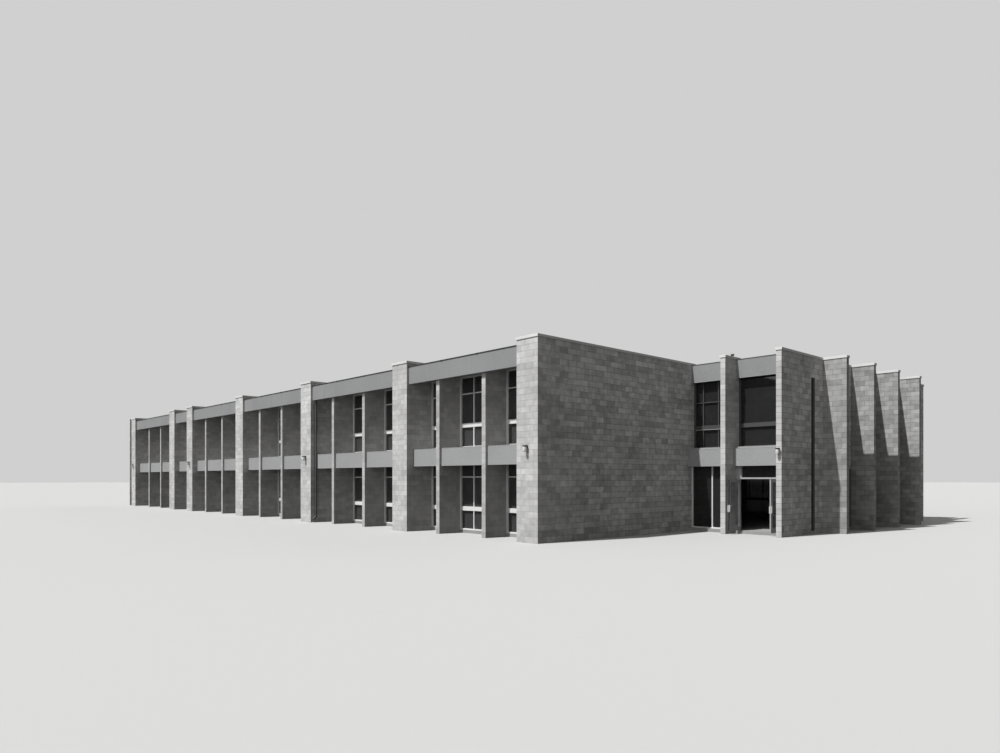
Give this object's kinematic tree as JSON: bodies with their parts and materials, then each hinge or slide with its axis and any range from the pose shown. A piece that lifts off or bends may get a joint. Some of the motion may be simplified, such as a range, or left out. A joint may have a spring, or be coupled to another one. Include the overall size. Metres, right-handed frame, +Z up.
{
  "type": "half-size scale model of a school building",
  "caption": "Two-storey blockwork school with full-height piers, thin fins, recessed windows, parapet walls and a recessed entrance with double doors; half-size model.",
  "frame": {"origin": "on the ground at the middle of the plan", "axes": "+X along the building towards the entrance end, +Y from the pictured long front to the rear, +Z up"},
  "size_m": [26.136, 11.47, 3.782],
  "materials": {
    "blockwork": "fair-faced concrete blockwork, unpainted",
    "slab_concrete": "cast concrete",
    "panel": "flat painted sheet panel",
    "coping": "folded metal coping, matt",
    "trim": "dark folded metal edge",
    "joinery": "light gloss paint on timber",
    "window_glass": "clear float glass before dark rooms",
    "door_glass": "clear float glass",
    "hinge": "plain steel butt hinge",
    "lock": "light enamelled lock case",
    "light_cap": "dark enamelled metal",
    "light_bowl": "opal glass",
    "pipe": "painted metal pipe",
    "vent": "weathered metal"
  },
  "bodies": {
    "building": {"front_piers": "blockwork", "rear_piers": "blockwork", "front_fins": "blockwork", "rear_fins": "blockwork", "end_walls": "blockwork", "east_side_wall": "blockwork", "west_side_wall": "blockwork", "side_fins": "blockwork", "entry_fins": "blockwork", "slot_walls": "blockwork", "wing_ground_slabs": "slab_concrete", "middle_ground_slab": "slab_concrete", "wing_floor_slabs": "slab_concrete", "middle_floor_slab": "slab_concrete", "wing_roof_slabs": "slab_concrete", "middle_roof_slab": "slab_concrete", "entry_slabs": "slab_concrete", "eaves_slabs": "slab_concrete", "ledges": "slab_concrete", "lintels": "slab_concrete", "window_kerbs": "slab_concrete", "spandrels": "panel", "entry_spandrels": "panel", "fascias": "panel", "entry_fascias": "panel", "fascia_trims": "trim", "pier_copings": "coping", "end_wall_copings": "coping", "side_wall_copings": "coping", "fin_copings": "coping", "front_window_frames": "joinery", "rear_window_frames": "joinery", "side_window_frames": "joinery", "entry_window_frames": "joinery", "door_jambs": "joinery", "door_fanlight": "joinery", "window_glass": "window_glass", "side_window_glass": "window_glass", "entry_window_glass": "window_glass", "door_hinges": "hinge", "wall_light_caps": "light_cap", "wall_light_bowls": "light_bowl", "downpipes": "pipe", "roof_vent": "vent"},
    "left_door": {"left_door_leaf": "joinery", "left_door_glass": "door_glass", "left_door_lock": "lock"},
    "right_door": {"right_door_leaf": "joinery", "right_door_glass": "door_glass", "right_door_lock": "lock"}
  },
  "joints": [
    {"name": "left_door_hinge", "type": "hinge", "parent": "building", "child": "left_door", "pos_m": [11.544, -1.298, 0.5], "axis": [0, 0, 1], "range_deg": [0, 90]},
    {"name": "right_door_hinge", "type": "hinge", "parent": "building", "child": "right_door", "pos_m": [12.421, -1.298, 0.5], "axis": [0, 0, 1], "range_deg": [-90, 0]}
  ]
}
